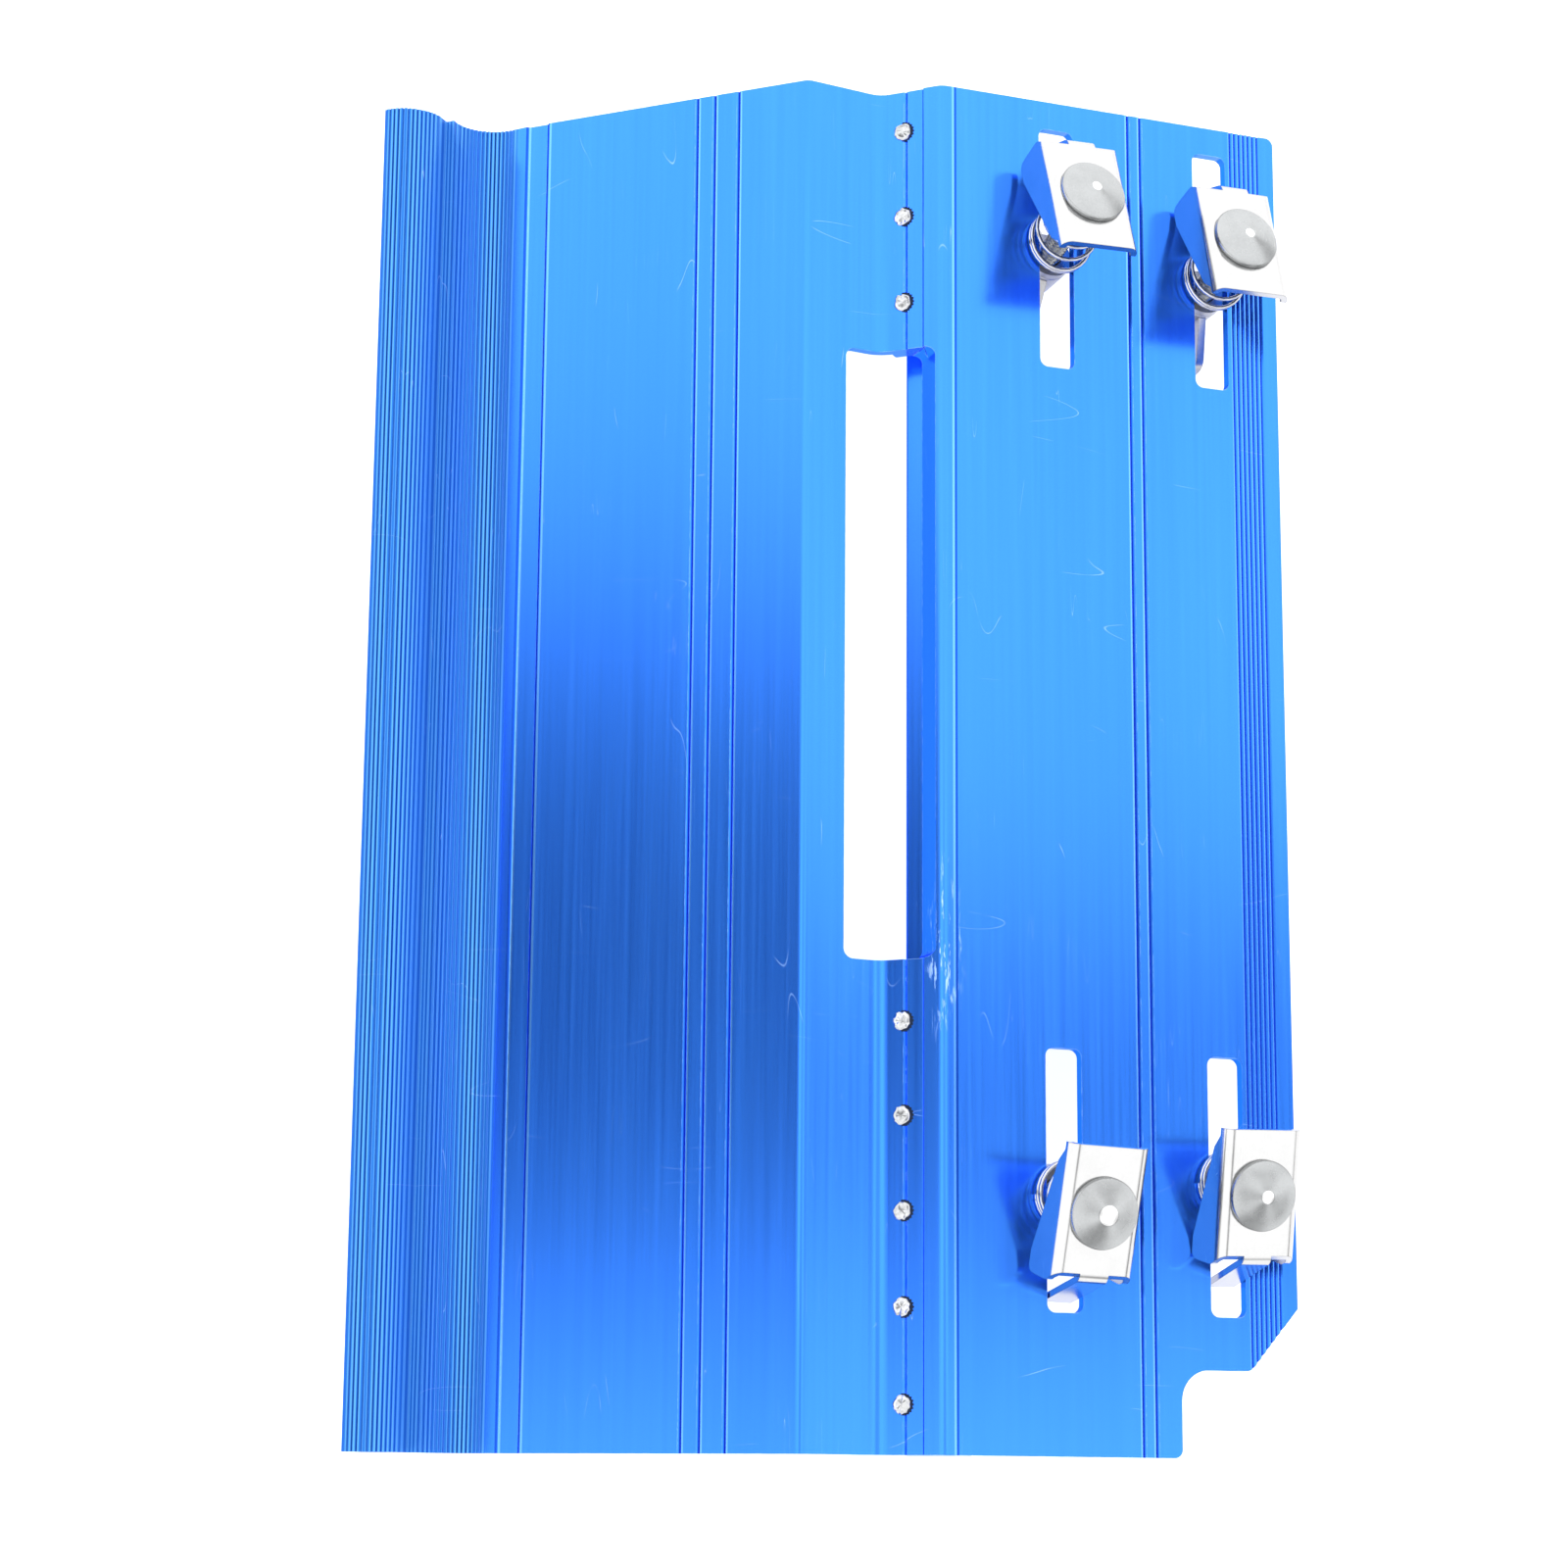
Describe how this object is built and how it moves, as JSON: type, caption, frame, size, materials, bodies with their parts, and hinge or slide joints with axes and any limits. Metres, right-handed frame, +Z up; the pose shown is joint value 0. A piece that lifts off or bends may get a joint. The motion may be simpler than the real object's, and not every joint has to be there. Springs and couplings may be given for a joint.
{
  "type": "bevel base plate",
  "caption": "Blue anodised aluminium bevel base plate for a hand-held cutting machine, with a blade slot and four sprung clamps.",
  "frame": {"origin": "centre of the bounding box's underside, midway along the extrusions, at the height of the lowest wing nut", "axes": "+Y along the extrusions, from the notched end to the plain end; +X across, towards the machine deck; +Z up, out of the ridge"},
  "size_m": [0.2172, 0.32, 0.0655],
  "materials": {
    "anodised": "blue anodised, drawn along the extrusion",
    "rivet_metal": "bright, peened",
    "plated_steel": "bright zinc plated"
  },
  "bodies": {
    "base": {"sole_plate": "anodised", "deck_plate": "anodised", "rivets": "rivet_metal"},
    "carriage_far_inner": {"clamp_spring_far_inner": "plated_steel"},
    "rocker_far_inner": {"washer_far_inner": "plated_steel"},
    "grip_far_inner": {"clamp_plate_far_inner": "plated_steel", "clamp_bolt_far_inner": "plated_steel"},
    "nut_far_inner": {"wing_nut_far_inner": "plated_steel"},
    "carriage_far_outer": {"clamp_spring_far_outer": "plated_steel"},
    "rocker_far_outer": {"washer_far_outer": "plated_steel"},
    "grip_far_outer": {"clamp_plate_far_outer": "plated_steel", "clamp_bolt_far_outer": "plated_steel"},
    "nut_far_outer": {"wing_nut_far_outer": "plated_steel"},
    "carriage_near_inner": {"clamp_spring_near_inner": "plated_steel"},
    "rocker_near_inner": {"washer_near_inner": "plated_steel"},
    "grip_near_inner": {"clamp_plate_near_inner": "plated_steel", "clamp_bolt_near_inner": "plated_steel"},
    "nut_near_inner": {"wing_nut_near_inner": "plated_steel"},
    "carriage_near_outer": {"clamp_spring_near_outer": "plated_steel"},
    "rocker_near_outer": {"washer_near_outer": "plated_steel"},
    "grip_near_outer": {"clamp_plate_near_outer": "plated_steel", "clamp_bolt_near_outer": "plated_steel"},
    "nut_near_outer": {"wing_nut_near_outer": "plated_steel"}
  },
  "joints": [
    {"name": "slide_far_inner", "type": "slide", "parent": "base", "child": "carriage_far_inner", "axis": [0, 1, 0], "range_m": [-0.0265, 0.0024]},
    {"name": "tilt_far_inner", "type": "hinge", "parent": "carriage_far_inner", "child": "rocker_far_inner", "pos_m": [0.05332, 0.1241, 0.03989], "axis": [0.9239, 0, -0.3827], "range_deg": [0, 28.8]},
    {"name": "press_far_inner", "type": "slide", "parent": "rocker_far_inner", "child": "grip_far_inner", "axis": [-0.3664, -0.289, -0.8844], "range_m": [0, 0.00905], "deforming": ["clamp_spring_far_inner"]},
    {"name": "spin_far_inner", "type": "hinge", "parent": "rocker_far_inner", "child": "nut_far_inner", "pos_m": [0.05332, 0.1241, 0.03989], "axis": [0.3664, 0.289, 0.8844], "range_deg": [0, 3258]},
    {"name": "slide_far_outer", "type": "slide", "parent": "base", "child": "carriage_far_outer", "axis": [0, 1, 0], "range_m": [-0.0228, 0.0059]},
    {"name": "tilt_far_outer", "type": "hinge", "parent": "carriage_far_outer", "child": "rocker_far_outer", "pos_m": [0.09148, 0.1204, 0.02408], "axis": [0.9239, 0, -0.3827], "range_deg": [0, 27]},
    {"name": "press_far_outer", "type": "slide", "parent": "rocker_far_outer", "child": "grip_far_outer", "axis": [-0.3696, -0.2588, -0.8924], "range_m": [0, 0.00695], "deforming": ["clamp_spring_far_outer"]},
    {"name": "spin_far_outer", "type": "hinge", "parent": "rocker_far_outer", "child": "nut_far_outer", "pos_m": [0.09148, 0.1204, 0.02408], "axis": [0.3696, 0.2588, 0.8924], "range_deg": [0, 2502]},
    {"name": "slide_near_inner", "type": "slide", "parent": "base", "child": "carriage_near_inner", "axis": [0, -1, 0], "range_m": [-0.0288, 0.0008]},
    {"name": "tilt_near_inner", "type": "hinge", "parent": "carriage_near_inner", "child": "rocker_near_inner", "pos_m": [0.05332, -0.1018, 0.03989], "axis": [-0.9239, 0, 0.3827], "range_deg": [0, 27.5]},
    {"name": "press_near_inner", "type": "slide", "parent": "rocker_near_inner", "child": "grip_near_inner", "axis": [-0.3688, 0.2672, -0.8903], "range_m": [0, 0.00905], "deforming": ["clamp_spring_near_inner"]},
    {"name": "spin_near_inner", "type": "hinge", "parent": "rocker_near_inner", "child": "nut_near_inner", "pos_m": [0.05332, -0.1018, 0.03989], "axis": [0.3688, -0.2672, 0.8903], "range_deg": [0, 3258]},
    {"name": "slide_near_outer", "type": "slide", "parent": "base", "child": "carriage_near_outer", "axis": [0, -1, 0], "range_m": [-0.0248, 0.0044]},
    {"name": "tilt_near_outer", "type": "hinge", "parent": "carriage_near_outer", "child": "rocker_near_outer", "pos_m": [0.09148, -0.0977, 0.02408], "axis": [-0.9239, 0, 0.3827], "range_deg": [0, 25]},
    {"name": "press_near_outer", "type": "slide", "parent": "rocker_near_outer", "child": "grip_near_outer", "axis": [-0.3729, 0.225, -0.9002], "range_m": [0, 0.00585], "deforming": ["clamp_spring_near_outer"]},
    {"name": "spin_near_outer", "type": "hinge", "parent": "rocker_near_outer", "child": "nut_near_outer", "pos_m": [0.09148, -0.0977, 0.02408], "axis": [0.3729, -0.225, 0.9002], "range_deg": [0, 2106]}
  ],
  "couplings": [
    {"joint": "spin_far_inner", "follows": "press_far_inner", "rad_per_m": 6283.2},
    {"joint": "tilt_far_inner", "follows": "press_far_inner", "rad_per_m": 55.542},
    {"joint": "spin_far_outer", "follows": "press_far_outer", "rad_per_m": 6283.2},
    {"joint": "tilt_far_outer", "follows": "press_far_outer", "rad_per_m": 67.804},
    {"joint": "spin_near_inner", "follows": "press_near_inner", "rad_per_m": 6283.2},
    {"joint": "tilt_near_inner", "follows": "press_near_inner", "rad_per_m": 53.035},
    {"joint": "spin_near_outer", "follows": "press_near_outer", "rad_per_m": 6283.2},
    {"joint": "tilt_near_outer", "follows": "press_near_outer", "rad_per_m": 74.587}
  ]
}
